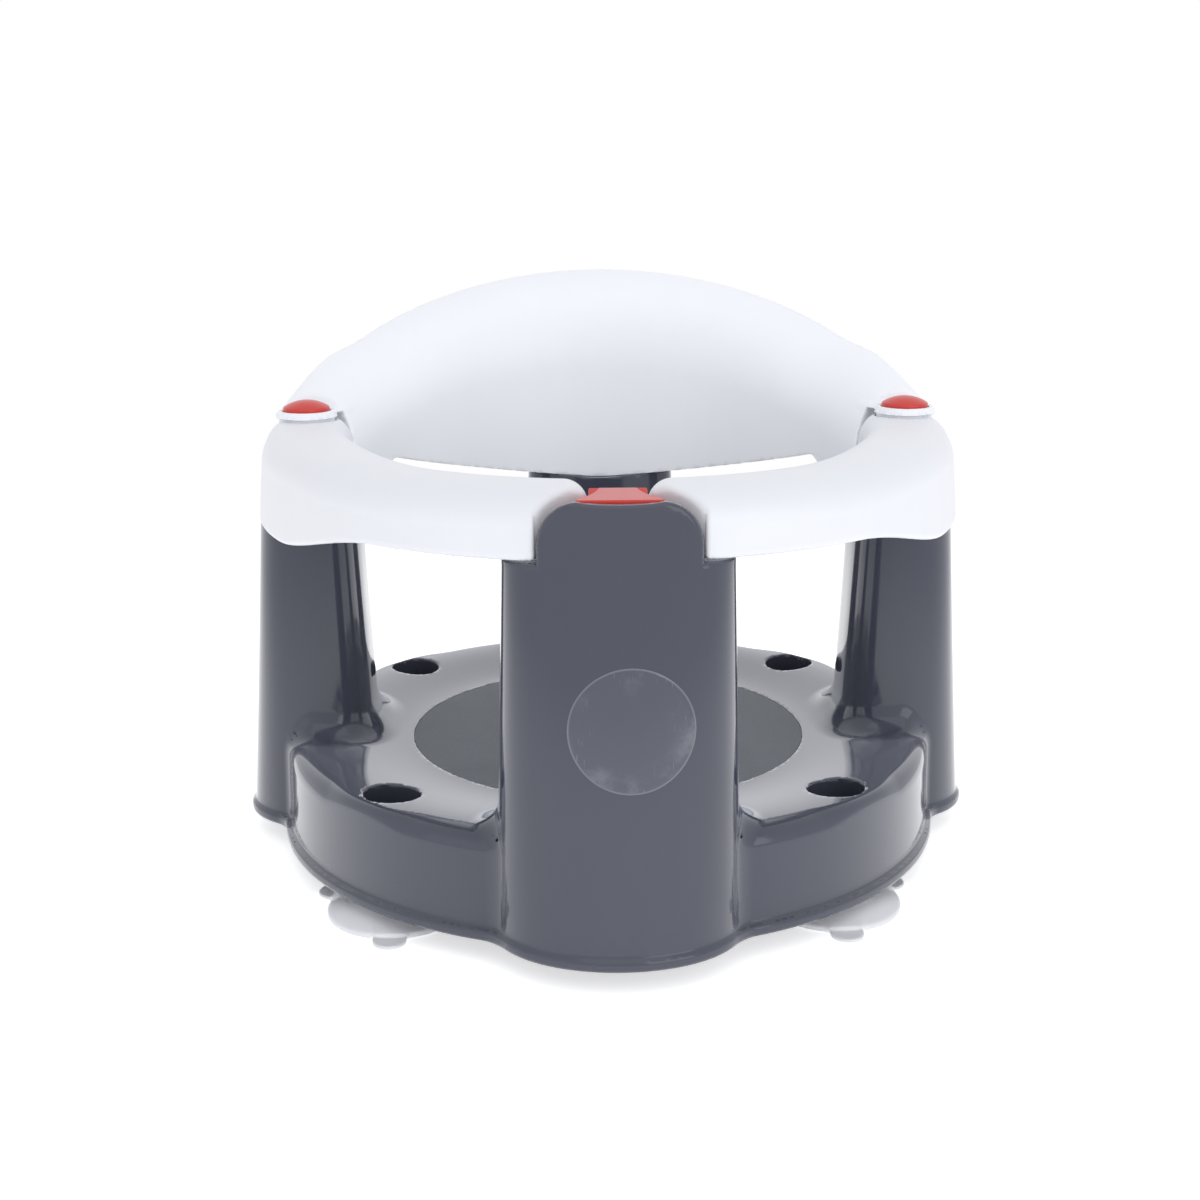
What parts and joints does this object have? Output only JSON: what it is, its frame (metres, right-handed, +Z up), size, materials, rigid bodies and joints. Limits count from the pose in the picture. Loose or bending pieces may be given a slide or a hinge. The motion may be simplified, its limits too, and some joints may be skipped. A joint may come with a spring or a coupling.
{
  "type": "baby bath seat",
  "caption": "Round baby bath seat: grey base with hollow columns, white backrest and hinged guard arms, red release buttons and latch, clear suction cups.",
  "frame": {"origin": "centre of the plan outline, on the surface that the suction cups rest on", "axes": "+Z up, -Y towards the front column and its latch, +X to the right seen from the front"},
  "size_m": [0.3644, 0.3644, 0.2686],
  "materials": {
    "base": "glossy grey moulding",
    "mat": "matte, finely grained",
    "white": "glossy white moulding",
    "red": "glossy red moulding",
    "cup": "soft translucent, satin",
    "inner": "plain inner plate",
    "steel": "bright zinc"
  },
  "bodies": {
    "seat": {"base_shell": "base", "seat_mat": "mat", "backrest": "white", "left_button_spring": "steel", "left_hinge_washer": "steel", "left_hinge_screw": "steel", "right_button_spring": "steel", "right_hinge_washer": "steel", "right_hinge_screw": "steel", "latch_spring": "steel", "latch_carrier": "inner", "latch_carrier_screw_left": "steel", "latch_carrier_screw_right": "steel", "backrest_screw_rear_left": "steel", "backrest_screw_rear_right": "steel", "backrest_screw_side_left": "steel", "backrest_screw_side_right": "steel"},
    "left_arm": {"left_arm": "white"},
    "right_arm": {"right_arm": "white"},
    "left_button": {"left_button": "red", "left_lock_pin": "steel"},
    "right_button": {"right_button": "red", "right_lock_pin": "steel"},
    "front_latch": {"front_latch": "red"},
    "suction_cup_front_left": {"suction_cup_front_left": "cup"},
    "suction_cup_front_right": {"suction_cup_front_right": "cup"},
    "suction_cup_rear_left": {"suction_cup_rear_left": "cup"},
    "suction_cup_rear_right": {"suction_cup_rear_right": "cup"}
  },
  "joints": [
    {"name": "left_arm_swing", "type": "hinge", "parent": "seat", "child": "left_arm", "pos_m": [-0.144, 0.004, 0.18], "axis": [0, 0, -1], "range_deg": [0, 90]},
    {"name": "right_arm_swing", "type": "hinge", "parent": "seat", "child": "right_arm", "pos_m": [0.144, 0.004, 0.18], "axis": [0, 0, 1], "range_deg": [0, 90]},
    {"name": "left_button_press", "type": "slide", "parent": "seat", "child": "left_button", "axis": [0, 0, -1], "range_m": [0, 0.003], "stiffness_N_per_m": 300, "springref_m": -0.002, "deforming": ["left_button_spring"]},
    {"name": "right_button_press", "type": "slide", "parent": "seat", "child": "right_button", "axis": [0, 0, -1], "range_m": [0, 0.003], "stiffness_N_per_m": 300, "springref_m": -0.002, "deforming": ["right_button_spring"]},
    {"name": "front_latch_press", "type": "slide", "parent": "seat", "child": "front_latch", "axis": [0, 0, -1], "range_m": [0, 0.004], "stiffness_N_per_m": 300, "springref_m": -0.003, "deforming": ["latch_spring"]},
    {"name": "suction_cup_front_left_turn", "type": "hinge", "parent": "seat", "child": "suction_cup_front_left", "pos_m": [-0.09948, -0.09607, 0.012], "axis": [0, 0, 1], "continuous": true},
    {"name": "suction_cup_front_right_turn", "type": "hinge", "parent": "seat", "child": "suction_cup_front_right", "pos_m": [0.09948, -0.09607, 0.012], "axis": [0, 0, 1], "continuous": true},
    {"name": "suction_cup_rear_left_turn", "type": "hinge", "parent": "seat", "child": "suction_cup_rear_left", "pos_m": [-0.10399, 0.09596, 0.012], "axis": [0, 0, 1], "continuous": true},
    {"name": "suction_cup_rear_right_turn", "type": "hinge", "parent": "seat", "child": "suction_cup_rear_right", "pos_m": [0.10399, 0.09596, 0.012], "axis": [0, 0, 1], "continuous": true}
  ]
}
